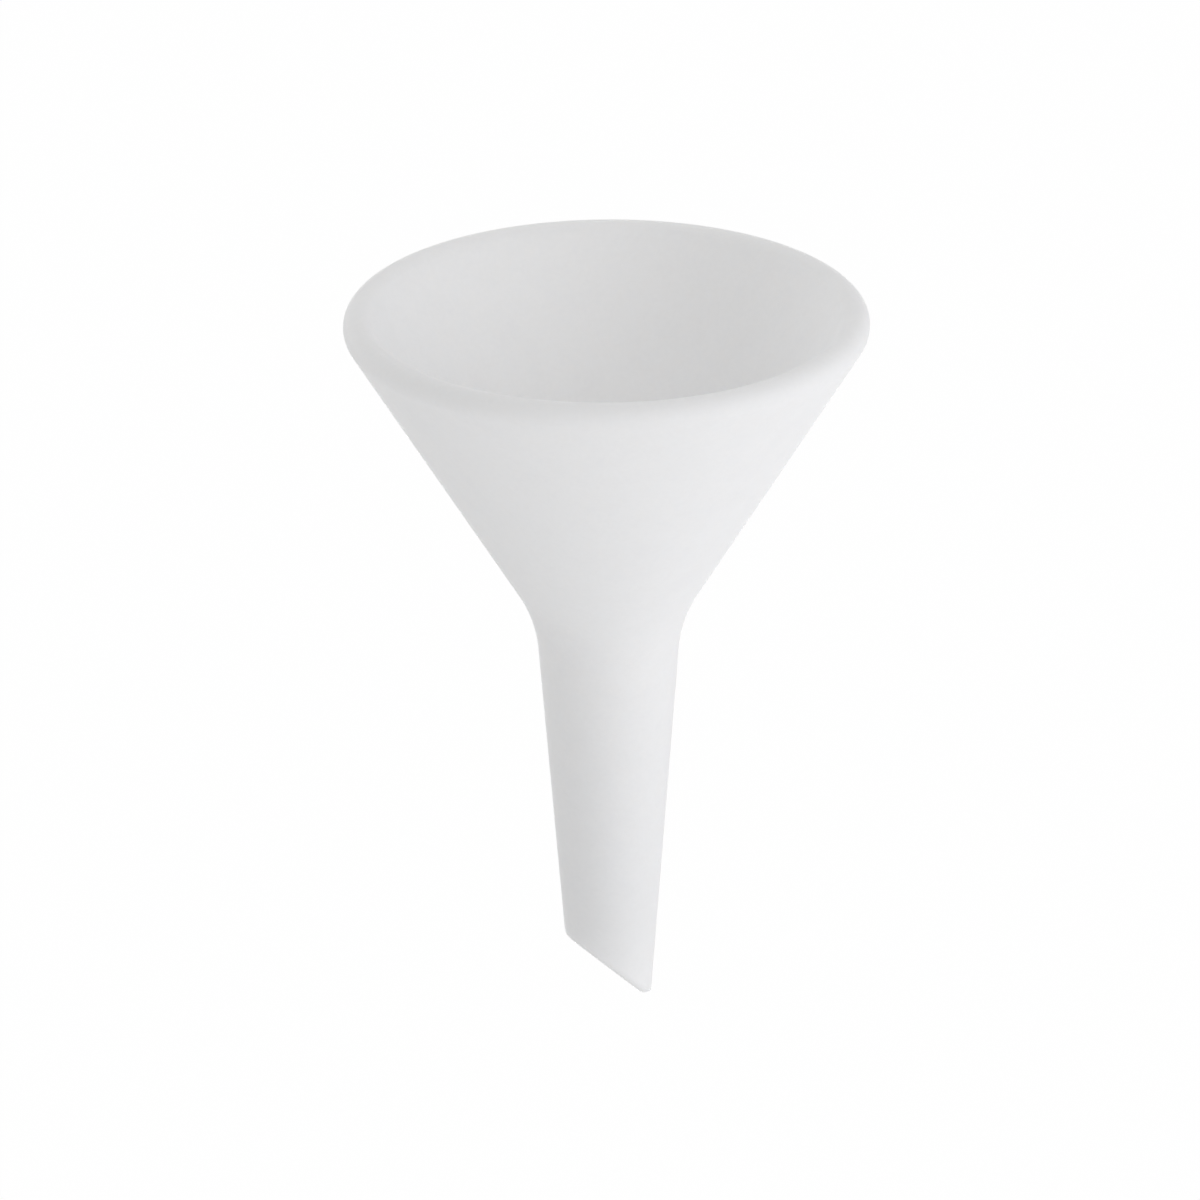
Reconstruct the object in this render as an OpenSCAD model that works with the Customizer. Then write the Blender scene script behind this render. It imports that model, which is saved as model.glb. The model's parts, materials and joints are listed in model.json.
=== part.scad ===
// Conical laboratory funnel, turned from one piece of white fluoropolymer.
// The stem hangs down along -Z and the bowl opens along +Z. The origin is on the axis, in the plane
// of the circle on the outer cone that a support ring carries. The slanted stem end has its long side at +X.

/* [Bowl] */
// Outer diameter of the rim
rim_d = 75; // [60:0.5:95]
// Angle of the cone, from wall to wall
cone_angle = 60; // [52:1:70]
// Thickness of the wall, square to it; the lip is rounded off over all of it
wall = 4.2; // [2.5:0.1:5]
// Diameter of the circle on the outer cone that rests in a support ring
seat_d = 50; // [36:1:56]

/* [Stem] */
// Diameter at which the line of the outer cone meets the line of the stem
neck_d = 21.7; // [20:0.1:24]
// Length of the stem, from that meeting down to its tip
stem_length = 67.2; // [45:0.1:90]
// Diameter of the stem at the height of its tip
tip_d = 12.4; // [11.5:0.1:14]
// Diameter of the bore
bore_d = 8; // [6:0.1:8.6]

/* [Blends] */
// Radius of the hollow blend between the outer cone and the stem
neck_blend = 24; // [8:0.5:32]
// Radius of the rounded throat between the inner cone and the bore
throat_round = 8; // [3:0.5:14]

/* [Stem end] */
// Angle of the slanted end, from square to the axis
slant_angle = 47.5; // [35:0.5:55]
// Width that the broken edge of the slanted end takes off the stem at its tip
tip_break = 1.35; // [0.8:0.05:1.6]
// Width that it takes off on the side opposite the tip
heel_break = 0.35; // [0.1:0.05:0.8]
// Lean of the broken edge from the axis, counted from the slope
break_lean = 40; // [30:1:55]

/* [Hidden] */
$fn = 180;

cone_half = cone_angle / 2;
rim_r = rim_d / 2;
lip = wall / 2;
seat_r = seat_d / 2;
neck_r = neck_d / 2;
tip_r = tip_d / 2;
bore_r = bore_d / 2;

// Heights along the outer cone, and along the inner one at the same distance all the way
function outer_z(r) = (r - seat_r) / tan(cone_half);
function inner_z(r) = outer_z(r + wall / cos(cone_half));

// Direction in the plane of radius and height that leans outwards from +Z
function leaning(angle) = [sin(angle), cos(angle)];
// Direction square to it, outwards
function square_to(angle) = [cos(angle), -sin(angle)];

// Each round crosses the lines that it blends by this much, where one that only touched them would leave slivers
bite = 0.002;
// How far a web or a cutter reaches past the faces that it trims
spill = 1;

// Centre of the lip's round: on the middle of the wall, where the round just reaches the rim's diameter
lip_round = lip + bite;
lip_at = [rim_r - lip_round, outer_z(rim_r - lip_round + lip / cos(cone_half))];
lip_outside = lip_at + lip * square_to(cone_half);
lip_inside = lip_at - lip * square_to(cone_half);

neck_corner = [neck_r, outer_z(neck_r)];
throat_corner = [bore_r, inner_z(bore_r)];
tip_corner = neck_corner - [neck_r - tip_r, stem_length];
taper = atan((neck_r - tip_r) / stem_length);

// Seen along the axis, the tapered stem meets the slope in an ellipse with a focus on the axis and this eccentricity
eccentricity = tan(slant_angle) * tan(taper);
// Where the slope reaches the tip's height: the edge is broken there, so this is the lowest point of the stem
tip_at = tip_r - tip_break * (1 + eccentricity);
// Half the ellipse's length, and how far its middle lies from the axis, away from the tip
edge_r = (tip_r + tip_at * eccentricity) / (1 - eccentricity * eccentricity);
edge_shift = edge_r * eccentricity;
// The foot of the broken edge is a circle inside it
foot_r = edge_r - (tip_break + heel_break) / 2;
foot_shift = edge_shift + (tip_break - heel_break) / 2;

// The web between two lines that meet in a corner and the round that blends them.
// `one` and `other` are the directions of the lines, away from the corner and in counter-clockwise order.
module corner_web(corner, one, other, radius) {
    half = acos(one * other) / 2;
    touch = radius / tan(half);
    centre = corner + radius / sin(half) * (one + other) / norm(one + other);
    kite = [corner, corner + touch * one, centre, corner + touch * other];
    difference() {
        polygon([for (p = kite) centre + (1 + spill / radius) * (p - centre)]);
        translate(centre)
            circle(r = radius + bite);
    }
}

// Half section of the funnel before its end is slanted, as radius and height
module section() {
    difference() {
        union() {
            polygon([lip_inside, throat_corner, [bore_r, tip_corner.y], tip_corner, neck_corner, lip_outside]);
            translate(lip_at)
                circle(r = lip_round);
            corner_web(neck_corner, -leaning(taper), leaning(cone_half), neck_blend);
        }
        corner_web(throat_corner, -leaning(0), leaning(cone_half), throat_round);
    }
}

// Everything below the slope of the stem's end
module below_slope() {
    span = 2 * neck_d / cos(slant_angle);
    translate([tip_at, 0, tip_corner.y])
        rotate([0, slant_angle, 0])
            translate([-span, -neck_d, -span])
                cube([2 * span, 2 * neck_d, span]);
}

// What the broken edge takes off: a ring that is turned on a level foot and sheared until the foot lies in the slope
module edge_ring() {
    rise = 1 / tan(break_lean);
    outside = foot_r + max(tip_break, heel_break) + spill;
    fall = tan(slant_angle);
    multmatrix([[1, 0, 0, 0], [0, 1, 0, 0], [-fall, 0, 1, tip_corner.y + tip_at * fall], [0, 0, 0, 1]])
        translate([-foot_shift, 0, 0])
            rotate_extrude()
                polygon([
                    [foot_r - spill, -spill * rise],
                    [outside, -spill * rise],
                    [outside, (outside - foot_r) * rise]
                ]);
}

// The turned funnel with its stem cut off along the slope
module slanted() {
    difference() {
        rotate_extrude()
            section();
        below_slope();
    }
}

module funnel() {
    color("whitesmoke")
        difference() {
            slanted();
            edge_ring();
        }
}

funnel();
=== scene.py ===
"""Looks of a conical laboratory funnel in white fluoropolymer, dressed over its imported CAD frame.

The funnel is one closed skin: its half section is carried round the axis, and the slanted end of the stem
is solved against the cut. Lengths are metres, the bowl opens along +Z and the long side of the stem's end is
at +X.
"""

import json
import logging
import math
from dataclasses import dataclass
from enum import Enum
from typing import Any, Mapping, Optional, Union

import bpy
import numpy as np
from mathutils import Matrix, Vector

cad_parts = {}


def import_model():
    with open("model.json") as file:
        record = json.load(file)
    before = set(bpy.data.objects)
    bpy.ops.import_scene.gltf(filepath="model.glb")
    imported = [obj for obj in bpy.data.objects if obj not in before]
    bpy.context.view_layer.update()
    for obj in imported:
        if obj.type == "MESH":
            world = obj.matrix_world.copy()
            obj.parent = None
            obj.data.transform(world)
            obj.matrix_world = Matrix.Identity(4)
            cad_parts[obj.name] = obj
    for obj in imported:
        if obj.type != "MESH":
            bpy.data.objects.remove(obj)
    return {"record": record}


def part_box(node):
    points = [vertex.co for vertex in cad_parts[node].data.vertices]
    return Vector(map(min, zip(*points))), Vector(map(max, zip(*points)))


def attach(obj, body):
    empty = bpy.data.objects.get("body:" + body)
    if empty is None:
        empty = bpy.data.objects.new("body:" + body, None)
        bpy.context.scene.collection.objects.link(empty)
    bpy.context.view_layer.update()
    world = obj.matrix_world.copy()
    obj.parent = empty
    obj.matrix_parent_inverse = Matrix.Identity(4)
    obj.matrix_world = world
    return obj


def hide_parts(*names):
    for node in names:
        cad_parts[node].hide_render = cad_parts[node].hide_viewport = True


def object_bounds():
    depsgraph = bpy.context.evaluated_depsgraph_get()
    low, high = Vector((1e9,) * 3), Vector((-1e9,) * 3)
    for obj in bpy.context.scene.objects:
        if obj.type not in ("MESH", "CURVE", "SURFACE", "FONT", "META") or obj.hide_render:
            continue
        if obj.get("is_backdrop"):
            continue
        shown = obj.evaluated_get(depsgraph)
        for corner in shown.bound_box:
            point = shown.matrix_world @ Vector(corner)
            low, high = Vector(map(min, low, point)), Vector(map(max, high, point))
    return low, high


LOG = logging.getLogger("funnel_scene")
CAD_NODE = "funnel"
CAD_BODY = "root"
MM_PER_METRE = 1000

Number = Union["Signal", float]
Colour = tuple[float, float, float, float]

WHITE: Colour = (1.0, 1.0, 1.0, 1.0)
# Strength at which a light that is seen shows as plain white
PLAIN_WHITE = 1.0
# Middle of the range of a noise
NOISE_MIDDLE = 0.5
# Places of a Mix node's two colours among its inputs, and of the mixed colour among its outputs
MIX_FIRST, MIX_SECOND = 6, 7
MIX_RESULT = 2


class Operation(Enum):
    """Sums that a Math node does for an expression on signals."""

    ADD = "ADD"
    SUBTRACT = "SUBTRACT"
    MULTIPLY = "MULTIPLY"
    POWER = "POWER"
    LARGER = "MAXIMUM"


class Ray(Enum):
    """Rays that see the backdrop as plain white, by the names of their Light Path outputs."""

    CAMERA = "Is Camera Ray"
    GLOSSY = "Is Glossy Ray"
    TRANSMISSION = "Is Transmission Ray"


class Signal:
    """A number that a node gives out; an expression on it adds Math nodes to its sheet."""

    def __init__(self, sheet: "ShaderSheet", socket: bpy.types.NodeSocket) -> None:
        """Wraps one output socket of a sheet."""
        self.sheet = sheet
        self.socket = socket

    def _sum(self, operation: Operation, first: Number, second: Number) -> "Signal":
        """Adds the Math node of one operation.

        Args:
            operation: what the node does.
            first: its first value.
            second: its second value.

        Returns:
            The node's result.
        """
        node = self.sheet.add("ShaderNodeMath", {"operation": operation.value}, {0: first, 1: second})
        return Signal(self.sheet, node.outputs[0])

    def __add__(self, other: Number) -> "Signal":
        """This plus another number."""
        return self._sum(Operation.ADD, self, other)

    def __radd__(self, other: Number) -> "Signal":
        """Another number plus this."""
        return self._sum(Operation.ADD, other, self)

    def __sub__(self, other: Number) -> "Signal":
        """This less another number."""
        return self._sum(Operation.SUBTRACT, self, other)

    def __rsub__(self, other: Number) -> "Signal":
        """Another number less this."""
        return self._sum(Operation.SUBTRACT, other, self)

    def __mul__(self, other: Number) -> "Signal":
        """This times another number."""
        return self._sum(Operation.MULTIPLY, self, other)

    def __rmul__(self, other: Number) -> "Signal":
        """Another number times this."""
        return self._sum(Operation.MULTIPLY, other, self)

    def __pow__(self, other: Number) -> "Signal":
        """This to the power of another number."""
        return self._sum(Operation.POWER, self, other)

    def or_larger(self, other: Number) -> "Signal":
        """The larger of this and another number."""
        return self._sum(Operation.LARGER, self, other)


@dataclass
class ShaderSheet:
    """A node tree to which nodes are added one at a time, with their settings and what feeds them."""

    tree: bpy.types.NodeTree

    def add(
        self,
        kind: str,
        settings: Optional[Mapping[str, Any]] = None,
        sockets: Optional[Mapping[Union[int, str], Any]] = None,
    ) -> bpy.types.Node:
        """Adds one node.

        Args:
            kind: the node's type.
            settings: the node's own properties, which are set first.
            sockets: for each input, by name or number, the value that it holds, or the signal or socket
                that feeds it.

        Returns:
            The new node.
        """
        node = self.tree.nodes.new(kind)
        for name, value in (settings or {}).items():
            setattr(node, name, value)
        for key, value in (sockets or {}).items():
            source = value.socket if isinstance(value, Signal) else value
            if isinstance(source, bpy.types.NodeSocket):
                self.tree.links.new(source, node.inputs[key])
            else:
                node.inputs[key].default_value = source
        return node

    def signal(self, node: bpy.types.Node, output: Union[int, str]) -> Signal:
        """Wraps one output of a node."""
        return Signal(self, node.outputs[output])

    def sees_white(self) -> Signal:
        """One for a ray that sees the backdrop as plain white, and zero for the rays that light the object.

        Returns:
            The largest of the three Light Path outputs.
        """
        path = self.add("ShaderNodeLightPath")
        camera, glossy, transmission = (self.signal(path, ray.value) for ray in Ray)
        return camera.or_larger(glossy).or_larger(transmission)


def new_material(name: str) -> tuple[bpy.types.Material, ShaderSheet]:
    """Makes a material with an empty node tree.

    Args:
        name: the material's name.

    Returns:
        The material and the sheet that writes its nodes.
    """
    material = bpy.data.materials.new(name)
    material.use_nodes = True
    material.node_tree.nodes.clear()
    return material, ShaderSheet(material.node_tree)


@dataclass(frozen=True)
class TurnedFluoropolymer:
    """Waxy white fluoropolymer: faint clouds in the white, a fine grain, and the rings of turning."""

    name: str = "turned_fluoropolymer"
    # The record's name for the material
    slot: str = "white_fluoropolymer"
    # Colour of the clear and of the clouded places
    pale: Colour = (0.952, 0.952, 0.955, 1.0)
    clouded: Colour = (0.906, 0.906, 0.912, 1.0)
    # Size of a cloud, a grain and the spacing of the turning rings
    cloud_size: float = 0.008
    grain_size: float = 0.0007
    ring_pitch: float = 0.0008
    # How many times each is halved into finer ones
    cloud_detail: float = 4.0
    grain_detail: float = 2.0
    ring_detail: float = 3.0
    # How clearly the clouds stand apart, and how much of the mottling is grain
    cloud_contrast: float = 2.5
    grain_share: float = 0.3
    # Roughness in the middle of its range, and how far the clouds and the rings move it
    roughness: float = 0.7
    cloud_roughness: float = 0.10
    ring_roughness: float = 0.08
    # Height of the relief, and how it is shared between the rings and the grain
    relief: float = 0.00004
    relief_strength: float = 0.5
    ring_share: float = 0.6
    # How strongly the surface mirrors, as share of full and by the light's bending in the material
    sheen: float = 0.1
    refraction: float = 1.35
    # The light that sinks in and comes out again
    glow_weight: float = 1.0
    glow_radius: tuple[float, float, float] = (1.0, 0.97, 0.94)
    glow_depth: float = 0.006

    def material(self, lean: float) -> bpy.types.Material:
        """Writes the finish as nodes.

        The rings follow the way along the section, which is the radius times the sine of the cone's lean
        plus the height times its cosine, so they circle the axis on the cone, the stem and the lip alike.

        Args:
            lean: the lean of the cone's wall from the axis, in radians.

        Returns:
            The material.
        """
        material, sheet = new_material(self.name)
        place = sheet.add("ShaderNodeTexCoord").outputs["Object"]
        parts = sheet.add("ShaderNodeSeparateXYZ", sockets={"Vector": place})
        x, y, z = (sheet.signal(parts, axis) for axis in "XYZ")
        radius = (x * x + y * y) ** 0.5
        along = radius * math.sin(lean) + z * math.cos(lean)
        rings = self._noise(sheet, "1D", {"W": along * (1 / self.ring_pitch), "Detail": self.ring_detail})
        clouds, grain = (
            self._noise(sheet, "3D", {"Vector": place, "Scale": 1 / size, "Detail": detail})
            for size, detail in ((self.cloud_size, self.cloud_detail), (self.grain_size, self.grain_detail))
        )
        mottling = clouds * (1 - self.grain_share) + grain * self.grain_share
        clouding = (mottling - NOISE_MIDDLE) * self.cloud_contrast + NOISE_MIDDLE
        colour = sheet.add(
            "ShaderNodeMix",
            {"data_type": "RGBA"},
            {"Factor": clouding, MIX_FIRST: self.pale, MIX_SECOND: self.clouded},
        )
        roughness = (
            self.roughness
            + self.cloud_roughness * (clouds - NOISE_MIDDLE)
            + self.ring_roughness * (rings - NOISE_MIDDLE)
        )
        relief = sheet.add(
            "ShaderNodeBump",
            sockets={
                "Strength": self.relief_strength,
                "Distance": self.relief,
                "Height": rings * self.ring_share + grain * (1 - self.ring_share),
            },
        )
        shader = sheet.add(
            "ShaderNodeBsdfPrincipled",
            sockets={
                "Base Color": colour.outputs[MIX_RESULT],
                "Roughness": roughness,
                "Normal": relief.outputs["Normal"],
                "IOR": self.refraction,
                "Specular IOR Level": self.sheen,
                "Subsurface Weight": self.glow_weight,
                "Subsurface Radius": self.glow_radius,
                "Subsurface Scale": self.glow_depth,
            },
        )
        sheet.add("ShaderNodeOutputMaterial", sockets={"Surface": shader.outputs["BSDF"]})
        return material

    def _noise(self, sheet: ShaderSheet, dimensions: str, sockets: Mapping[str, Any]) -> Signal:
        """Adds a noise.

        Args:
            sheet: the sheet that it goes on.
            dimensions: over how many dimensions it runs.
            sockets: what its inputs hold.

        Returns:
            The noise, from 0 to 1.
        """
        return sheet.signal(sheet.add("ShaderNodeTexNoise", {"noise_dimensions": dimensions}, sockets), 0)


@dataclass(frozen=True)
class PaleFloor:
    """Matt pale floor that is white to the camera, fades the object's shadow and isn't there from below."""

    name: str = "pale_floor"
    colour: Colour = (0.9, 0.9, 0.9, 1.0)
    # How much of what the camera sees of the floor is plain white
    whiteness: float = 0.99

    def material(self) -> bpy.types.Material:
        """Writes the finish as nodes: matt for light, mostly plain white for the camera, clear from below.

        Returns:
            The material.
        """
        material, sheet = new_material(self.name)
        # The white is there for the rays that see it, and doesn't count as a lamp
        material.cycles.emission_sampling = "NONE"
        matt = sheet.add("ShaderNodeBsdfDiffuse", sockets={"Color": self.colour})
        white = sheet.add("ShaderNodeEmission", sockets={"Color": WHITE, "Strength": PLAIN_WHITE})
        seen = sheet.add(
            "ShaderNodeMixShader",
            sockets={0: sheet.sees_white() * self.whiteness, 1: matt.outputs[0], 2: white.outputs[0]},
        )
        clear = sheet.add("ShaderNodeBsdfTransparent")
        below = sheet.signal(sheet.add("ShaderNodeNewGeometry"), "Backfacing")
        floor = sheet.add("ShaderNodeMixShader", sockets={0: below, 1: seen.outputs[0], 2: clear.outputs[0]})
        sheet.add("ShaderNodeOutputMaterial", sockets={"Surface": floor.outputs[0]})
        return material


def leaning(angle: float) -> np.ndarray:
    """Direction, as radius and height, that leans outwards from +Z by an angle."""
    return np.array([math.sin(angle), math.cos(angle)])


def square_to(angle: float) -> np.ndarray:
    """Direction square to that one, outwards."""
    return np.array([math.cos(angle), -math.sin(angle)])


def line(start: np.ndarray, end: np.ndarray, count: int) -> np.ndarray:
    """Points at even steps from a start up to, but without, an end.

    Args:
        start: one point, or one for each column.
        end: one point, or one for each column.
        count: how many points.

    Returns:
        The points, in rows.
    """
    start, end = np.broadcast_arrays(start, end)
    share = (np.arange(count) / count).reshape((-1,) + (1,) * start.ndim)
    return start + share * (end - start)


def arc(centre: np.ndarray, radius: float, first: float, last: float, count: int) -> np.ndarray:
    """Points at even steps on a round, from one angle up to, but without, another.

    Args:
        centre: the round's centre, as radius and height.
        radius: its radius.
        first: the angle that it starts at, from the direction away from the axis.
        last: the angle that it ends at.
        count: how many points.

    Returns:
        The points, in rows.
    """
    angle = first + (last - first) * np.arange(count) / count
    return centre + radius * np.stack([np.cos(angle), np.sin(angle)], axis=-1)


def rounded(first: np.ndarray, second: np.ndarray, radius: float) -> np.ndarray:
    """Larger of two distances, with the edge where they meet rounded off.

    Where both come within the radius of zero, the length of the two overshoots, less the radius, takes over.

    Args:
        first: distance outside one face, negative inside.
        second: distance outside the other.
        radius: radius of the round.

    Returns:
        Distance outside both faces together.
    """
    overshoot = np.hypot(np.maximum(first + radius, 0.0), np.maximum(second + radius, 0.0))
    return np.minimum(np.maximum(first, second), -radius) + overshoot


@dataclass
class FunnelSkin:
    """The whole funnel, from lip to slanted stem end, as one closed skin round the axis."""

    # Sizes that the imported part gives
    rim_radius: float
    seat_radius: float
    bore_radius: float
    tip_radius: float
    tip_height: float
    stem_length: float
    # Sizes that the part's source has and its record lacks
    wall: float = 0.0042
    cone_lean: float = math.radians(30.0)
    neck_blend: float = 0.024
    throat_round: float = 0.008
    slant: float = math.radians(47.5)
    tip_break: float = 0.00135
    heel_break: float = 0.00035
    break_lean: float = math.radians(40.0)
    # How far the edges of the slanted end are softened: along the slope, along the stem's side and round
    # the bore
    foot_soft: float = 0.0003
    side_soft: float = 0.00025
    bore_soft: float = 0.0003
    # Height above the slanted end at which the rays that seek its shape start, how far they reach in such
    # heights, and how often each is halved
    end_reach: float = 0.0034
    ray_reach: float = 4.0
    halvings: int = 44
    # Rays that meet the bore, the slope, the broken edge and the stem's side
    end_rays: tuple[int, int, int, int] = (14, 36, 18, 14)
    # Rows along the other stretches of the section, and columns round the axis
    bore_rows: int = 12
    stem_rows: int = 25
    neck_rows: int = 28
    cone_rows: int = 28
    lip_rows: int = 40
    throat_rows: int = 20
    columns: int = 360

    @classmethod
    def from_frame(cls, record: Mapping[str, Any]) -> "FunnelSkin":
        """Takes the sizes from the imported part.

        Args:
            record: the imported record, whose mounts give the seat, the bore and the stem.

        Returns:
            The funnel.
        """
        mounts = {mount["name"]: mount for mount in record["mounts"]}
        sizes = {
            f"{name}.{key}": value / MM_PER_METRE
            for name, mount in mounts.items()
            for key, value in mount["dims"].items()
        }
        low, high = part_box(CAD_NODE)
        return cls(
            rim_radius=min(high.x, high.y, -low.x, -low.y),
            seat_radius=sizes["cone_seat.r_mm"],
            bore_radius=sizes["outlet_bore.r_mm"],
            tip_radius=sizes["stem_taper.r_mm"],
            tip_height=low.z,
            stem_length=sizes["stem_taper.length_mm"],
        )

    @property
    def neck_corner(self) -> np.ndarray:
        """Where the line of the outer cone meets the line of the stem."""
        height = self.tip_height + self.stem_length
        return np.array([self.seat_radius + height * math.tan(self.cone_lean), height])

    @property
    def taper(self) -> float:
        """Lean of the stem's side from the axis."""
        return math.atan((self.neck_corner[0] - self.tip_radius) / self.stem_length)

    @property
    def lip_radius(self) -> float:
        """Radius of the lip, which is round over the whole wall."""
        return self.wall / 2

    @property
    def lip_centre(self) -> np.ndarray:
        """Centre of the lip's round: in the middle of the wall, where the round reaches the rim's radius."""
        radius = self.rim_radius - self.lip_radius
        outside = radius + self.lip_radius / math.cos(self.cone_lean)
        return np.array([radius, (outside - self.seat_radius) / math.tan(self.cone_lean)])

    @property
    def throat_corner(self) -> np.ndarray:
        """Where the line of the inner cone meets the bore."""
        outside = self.bore_radius + self.wall / math.cos(self.cone_lean)
        return np.array([self.bore_radius, (outside - self.seat_radius) / math.tan(self.cone_lean)])

    def blend(self, corner: np.ndarray, lower: float, radius: float, count: int) -> np.ndarray:
        """The round between the cone's line and a line below it, from the lower one up.

        Its centre lies outwards of the corner, on the line that halves the angle between the two, and it runs
        from the point square to the lower line to the point square to the cone.

        Args:
            corner: where the two lines meet.
            lower: lean of the lower line from the axis.
            radius: radius of the round.
            count: how many points.

        Returns:
            The points, in rows.
        """
        half_turn = (self.cone_lean - lower) / 2
        centre = corner + radius / math.cos(half_turn) * square_to(lower + half_turn)
        return arc(centre, radius, math.pi - lower, math.pi - self.cone_lean, count)

    @property
    def eccentricity(self) -> float:
        """Eccentricity of the ellipse in which the stem meets the slope, seen along the axis."""
        return math.tan(self.slant) * math.tan(self.taper)

    @property
    def tip_at(self) -> float:
        """Distance from the axis at which the slope reaches the tip's height."""
        return self.tip_radius - self.tip_break * (1 + self.eccentricity)

    @property
    def edge_radius(self) -> float:
        """Half the length of that ellipse."""
        return (self.tip_radius + self.tip_at * self.eccentricity) / (1 - self.eccentricity**2)

    @property
    def foot_radius(self) -> float:
        """Radius of the circle, seen along the axis, in which the broken edge meets the slope."""
        return self.edge_radius - (self.tip_break + self.heel_break) / 2

    @property
    def foot_shift(self) -> float:
        """How far the middle of that circle lies from the axis, away from the tip."""
        return self.edge_radius * self.eccentricity + (self.tip_break - self.heel_break) / 2

    def slope_height(self, radius: np.ndarray, azimuth: np.ndarray) -> np.ndarray:
        """Height of the slope above the tip.

        Args:
            radius: distance from the axis.
            azimuth: angle round the axis from the long side.

        Returns:
            The height.
        """
        return (self.tip_at - radius * np.cos(azimuth)) * math.tan(self.slant)

    def end_distance(self, radius: np.ndarray, height: np.ndarray, azimuth: np.ndarray) -> np.ndarray:
        """How far a point lies outside the wall at the stem's end.

        The wall is bounded by the slope, the broken edge, the stem's tapered side and the bore, and each edge
        between two of them is softened. The broken edge is a cone about the middle of its foot, with heights
        counted from the slope, and its distance is the cone's own formula over the length of that formula's
        gradient.

        Args:
            radius: distance from the axis.
            height: height above the tip.
            azimuth: angle round the axis from the long side.

        Returns:
            The distance, negative inside the wall.
        """
        over = height - self.slope_height(radius, azimuth)
        spread, steep = math.tan(self.break_lean), math.tan(self.slant)
        x, y = radius * np.cos(azimuth) + self.foot_shift, radius * np.sin(azimuth)
        reach = np.hypot(x, y)
        gradient = np.sqrt((x / reach - spread * steep) ** 2 + (y / reach) ** 2 + spread**2)
        slope = -over * math.cos(self.slant)
        edge = (reach - self.foot_radius - over * spread) / gradient
        side = (radius - self.tip_radius - height * math.tan(self.taper)) * math.cos(self.taper)
        end = rounded(rounded(slope, edge, self.foot_soft), side, self.side_soft)
        return rounded(end, self.bore_radius - radius, self.bore_soft)

    def stem_end(self, azimuth: np.ndarray) -> np.ndarray:
        """Section of the stem's end at each azimuth, from the bore's wall round the edge to the stem's side.

        A fan of rays leaves the middle of the wall above the slope, from level inwards through straight down
        to level outwards, and each ray is halved until it meets the softened end. The rays lie closest
        together towards the edge of the bore, the foot of the broken edge and its meeting with the side.

        Args:
            azimuth: angles round the axis from the long side.

        Returns:
            Radius and height by ray and azimuth.
        """
        spread, taper = math.tan(self.break_lean), math.tan(self.taper)
        widening = 1 + self.eccentricity * np.cos(azimuth)
        edge_r = self.edge_radius * (1 - self.eccentricity**2) / widening
        foot_r = np.sqrt(self.foot_radius**2 - (self.foot_shift * np.sin(azimuth)) ** 2)
        foot_r = foot_r - self.foot_shift * np.cos(azimuth)
        side_over = (edge_r - foot_r) / (spread - taper / widening)
        side_r = foot_r + side_over * spread
        mid_r = (self.bore_radius + edge_r) / 2
        mid_z = np.maximum(self.slope_height(mid_r, azimuth), 0.0) + self.end_reach

        def towards(radius: Union[float, np.ndarray], over: Union[float, np.ndarray]) -> np.ndarray:
            """Angle, from level inwards, of the ray to a radius at a height over the slope."""
            return np.arctan2(mid_z - self.slope_height(radius, azimuth) - over, mid_r - radius)

        stops = [
            np.zeros_like(azimuth),
            towards(self.bore_radius, 0.0),
            towards(foot_r, 0.0),
            towards(side_r, side_over),
            np.full_like(azimuth, math.pi),
        ]
        turn = np.concatenate(
            [
                first + (last - first) * (1 - np.cos(math.pi * np.arange(count) / count))[:, None] / 2
                for first, last, count in zip(stops, stops[1:], self.end_rays)
            ]
        )
        near = np.zeros_like(turn)
        far = np.full_like(turn, self.ray_reach * self.end_reach)
        inwards, down = np.cos(turn), np.sin(turn)
        for _ in range(self.halvings):
            half = (near + far) / 2
            outside = self.end_distance(mid_r - half * inwards, mid_z - half * down, azimuth) > 0
            near, far = np.where(outside, near, half), np.where(outside, half, far)
        return np.stack([mid_r - near * inwards, self.tip_height + mid_z - near * down], axis=-1)

    def section(self, azimuth: np.ndarray) -> np.ndarray:
        """The closed half section at each azimuth.

        It runs down the bore, round the slanted end, up the stem's side, through the neck's hollow blend, up
        the outer cone, over the round lip, down the inner cone and through the throat back to the bore.

        Args:
            azimuth: angles round the axis.

        Returns:
            Radius and height by row and azimuth.
        """
        end = self.stem_end(azimuth)
        neck = self.blend(self.neck_corner, self.taper, self.neck_blend, self.neck_rows)
        throat = self.blend(self.throat_corner, 0.0, self.throat_round, self.throat_rows)[::-1]
        lip = arc(self.lip_centre, self.lip_radius, -self.cone_lean, math.pi - self.cone_lean, self.lip_rows)
        lip_inside = self.lip_centre - self.lip_radius * square_to(self.cone_lean)
        cone_foot = self._cone_touch(self.neck_corner, self.neck_blend, self.taper)
        turned = [
            neck,
            line(cone_foot, lip[0], self.cone_rows),
            lip,
            line(lip_inside, throat[0], self.cone_rows),
            throat,
        ]
        round_pieces = [np.broadcast_to(p[:, None, :], (len(p), len(azimuth), 2)) for p in turned]
        bore = line(throat[-1], end[0], self.bore_rows)[1:]
        side = line(end[-1], neck[0], self.stem_rows)[1:]
        return np.concatenate([bore, end, side, *round_pieces])

    def _cone_touch(self, corner: np.ndarray, radius: float, lower: float) -> np.ndarray:
        """Where a blend runs out into the cone: from the corner up the cone by the length of the tangent."""
        return corner + radius * math.tan((self.cone_lean - lower) / 2) * leaning(self.cone_lean)

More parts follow.
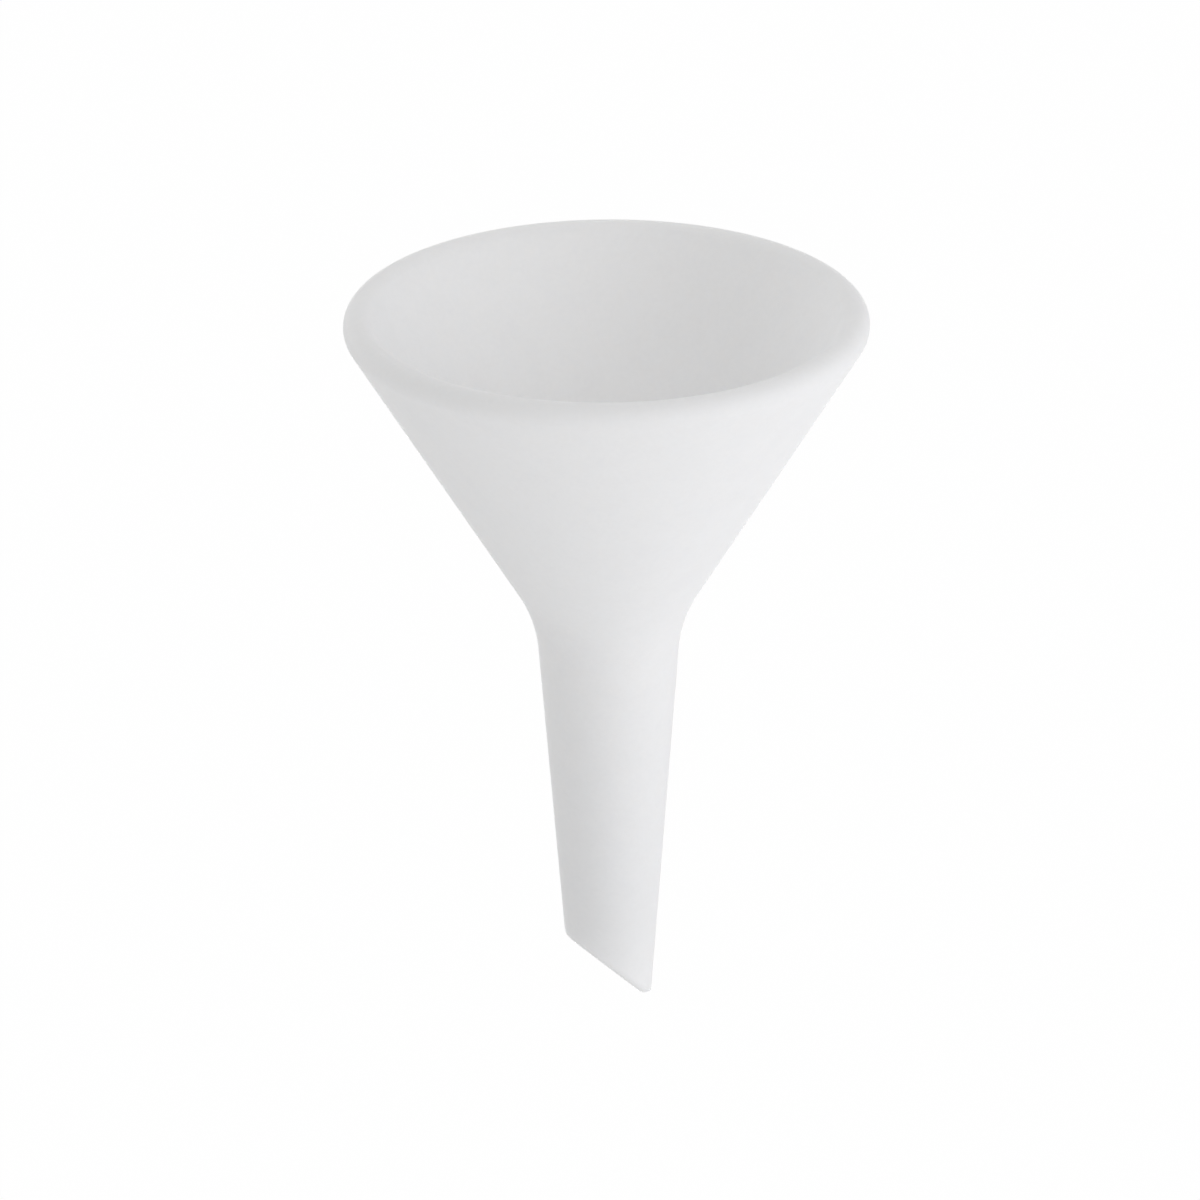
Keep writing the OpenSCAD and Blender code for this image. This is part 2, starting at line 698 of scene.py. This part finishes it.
    def build(self) -> bpy.types.Object:
        """Carries the section round the axis and makes the mesh.

        A point of the section at radius r and height z goes to (r cos a, r sin a, z) for each azimuth a, and
        the rows and the columns both close on themselves.

        Returns:
            The funnel's object, at the origin.
        """
        azimuth = 2 * math.pi * np.arange(self.columns) / self.columns
        section = self.section(azimuth)
        radius, height = section[..., 0], section[..., 1]
        points = np.stack([radius * np.cos(azimuth), radius * np.sin(azimuth), height], axis=-1)
        rows = len(points)
        at = np.arange(rows * self.columns).reshape(rows, self.columns)
        beside, above = np.roll(at, -1, axis=1), np.roll(at, -1, axis=0)
        corner = np.roll(above, -1, axis=1)
        faces = np.stack([at, beside, corner, above], axis=-1).reshape(-1, 4)
        mesh = bpy.data.meshes.new("funnel_skin")
        mesh.from_pydata(points.reshape(-1, 3).tolist(), [], faces.tolist())
        mesh.polygons.foreach_set("use_smooth", np.ones(len(faces), dtype=bool))
        mesh.update()
        skin = bpy.data.objects.new("funnel_skin", mesh)
        bpy.context.scene.collection.objects.link(skin)
        return skin

    def dress(self, skin: bpy.types.Object, finish: TurnedFluoropolymer) -> None:
        """Gives the skin its finish and puts it in the CAD node's place.

        Args:
            skin: the funnel's object.
            finish: the finish.
        """
        skin.data.materials.append(finish.material(self.cone_lean))
        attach(skin, CAD_BODY)
        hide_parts(CAD_NODE)


@dataclass(frozen=True)
class Viewpoint:
    """The camera, placed by where it sees the middle of the lip."""

    # Bearing round the object from -Y, pitch below the level and turn about the line of sight, in degrees
    bearing: float = -34.3
    pitch: float = 26.24
    roll: float = -0.44
    # Where the lip's middle lies from the camera: along the line of sight, right of it and above it
    depth: float = 0.5033
    right_of: float = 0.00123
    above: float = 0.0399
    # Focal length and sensor width, in millimetres
    lens: float = 105.94
    sensor: float = 36.0

    @property
    def right(self) -> Vector:
        """Level direction to the camera's right."""
        turn = math.radians(self.bearing)
        return Vector((math.cos(turn), math.sin(turn), 0.0))

    @property
    def away(self) -> Vector:
        """Level direction away from the camera."""
        return Vector((0.0, 0.0, 1.0)).cross(self.right)

    def shoot(self, lip_middle: Vector) -> bpy.types.Object:
        """Makes the camera and hands it to the scene.

        Args:
            lip_middle: the point on the axis at the height of the lip's centre.

        Returns:
            The camera.
        """
        pitch = math.radians(self.pitch)
        sight = math.cos(pitch) * self.away - Vector((0.0, 0.0, math.sin(pitch)))
        upright = self.right.cross(sight)
        data = bpy.data.cameras.new("camera")
        data.lens, data.sensor_width = self.lens, self.sensor
        camera = bpy.data.objects.new("camera", data)
        facing = Matrix((self.right, upright, -sight)).transposed()
        turn = facing @ Matrix.Rotation(math.radians(self.roll), 3, "Z")
        spot = lip_middle - self.depth * sight - self.right_of * self.right - self.above * upright
        camera.matrix_world = Matrix.Translation(spot) @ turn.to_4x4()
        bpy.context.scene.collection.objects.link(camera)
        bpy.context.scene.camera = camera
        return camera


@dataclass(frozen=True)
class SoftLamp:
    """A square soft lamp that faces the object."""

    name: str
    # Bearing from the camera's right towards the camera, and height above the level, in degrees
    bearing: float
    height: float
    watts: float
    # Colour of its light
    tint: tuple[float, float, float] = WHITE[:3]
    # How far from the object it hangs, and how wide it is
    distance: float = 0.9
    width: float = 0.6

    def hang(self, target: Vector, viewpoint: Viewpoint) -> bpy.types.Object:
        """Makes the lamp.

        Args:
            target: the point that it faces.
            viewpoint: the camera whose right the bearing is counted from.

        Returns:
            The lamp.
        """
        turn, height = math.radians(self.bearing), math.radians(self.height)
        level = math.cos(turn) * viewpoint.right - math.sin(turn) * viewpoint.away
        out = math.cos(height) * level + Vector((0.0, 0.0, math.sin(height)))
        data = bpy.data.lights.new(self.name, "AREA")
        data.size, data.energy, data.color = self.width, self.watts, self.tint
        lamp = bpy.data.objects.new(self.name, data)
        lamp.location = target + self.distance * out
        lamp.rotation_euler = out.to_track_quat("Z", "Y").to_euler()
        bpy.context.scene.collection.objects.link(lamp)
        return lamp


@dataclass(frozen=True)
class Studio:
    """Pale floor, white surroundings and soft lamps round the object."""

    # How far below the stem's tip the floor lies, and how wide it is
    floor_drop: float = 0.6
    floor_width: float = 12.0
    # Brightness of the surroundings as the object is lit by them
    surroundings: float = 0.59
    lamps: tuple[SoftLamp, ...] = (
        SoftLamp("right_lamp", bearing=20.0, height=15.0, watts=1.8, tint=(0.96, 0.96, 1.0)),
        SoftLamp("low_front_lamp", bearing=68.0, height=-22.0, watts=1.35, tint=(0.97, 0.97, 1.0)),
        SoftLamp("low_back_lamp", bearing=270.0, height=-22.0, watts=2.4),
        SoftLamp("left_lamp", bearing=225.0, height=15.0, watts=1.42),
    )

    def floor(self, tip_height: float, finish: PaleFloor) -> bpy.types.Object:
        """Makes the floor, a level sheet of one face.

        Args:
            tip_height: height of the stem's tip.
            finish: the floor's finish.

        Returns:
            The floor.
        """
        half = self.floor_width / 2
        outline = np.array([[-half, -half], [half, -half], [half, half], [-half, half]])
        height = np.full((len(outline), 1), tip_height - self.floor_drop)
        mesh = bpy.data.meshes.new("floor")
        mesh.from_pydata(np.hstack([outline, height]).tolist(), [], [list(range(len(outline)))])
        mesh.materials.append(finish.material())
        floor = bpy.data.objects.new("floor", mesh)
        bpy.context.scene.collection.objects.link(floor)
        floor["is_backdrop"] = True
        return floor

    def surround(self) -> None:
        """Fills the world with even light, which is plain white to the camera."""
        world = bpy.data.worlds.new("surroundings")
        world.use_nodes = True
        world.node_tree.nodes.clear()
        sheet = ShaderSheet(world.node_tree)
        light, white = (
            sheet.add("ShaderNodeBackground", sockets={"Color": WHITE, "Strength": strength})
            for strength in (self.surroundings, PLAIN_WHITE)
        )
        seen = sheet.add(
            "ShaderNodeMixShader", sockets={0: sheet.sees_white(), 1: light.outputs[0], 2: white.outputs[0]}
        )
        sheet.add("ShaderNodeOutputWorld", sockets={"Surface": seen.outputs[0]})
        bpy.context.scene.world = world

    def light(self, target: Vector, viewpoint: Viewpoint) -> None:
        """Hangs the lamps and sets how the picture shows their light.

        Args:
            target: the point that the lamps face.
            viewpoint: the camera whose right their bearings are counted from.
        """
        for lamp in self.lamps:
            lamp.hang(target, viewpoint)
        self.surround()
        bpy.context.scene.view_settings.view_transform = "Standard"


def main() -> None:
    """Loads the frame, builds and dresses the funnel, and sets the camera, the floor and the light."""
    logging.basicConfig(level=logging.INFO, format="%(name)s: %(message)s")
    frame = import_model()
    cad_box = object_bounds()
    funnel = FunnelSkin.from_frame(frame["record"])
    skin = funnel.build()
    funnel.dress(skin, TurnedFluoropolymer())
    LOG.info("%s: %d faces, in place of %s", skin.name, len(skin.data.polygons), CAD_NODE)

    viewpoint, studio = Viewpoint(), Studio()
    camera = viewpoint.shoot(Vector((0.0, 0.0, funnel.lip_centre[1])))
    LOG.info("%s: %.1f mm lens", camera.name, camera.data.lens)
    floor = studio.floor(funnel.tip_height, PaleFloor())
    studio.light((cad_box[0] + cad_box[1]) / 2, viewpoint)
    LOG.info("%s: %.3f m below the tip, with %d lamps", floor.name, studio.floor_drop, len(studio.lamps))


if __name__ == "__main__":
    main()
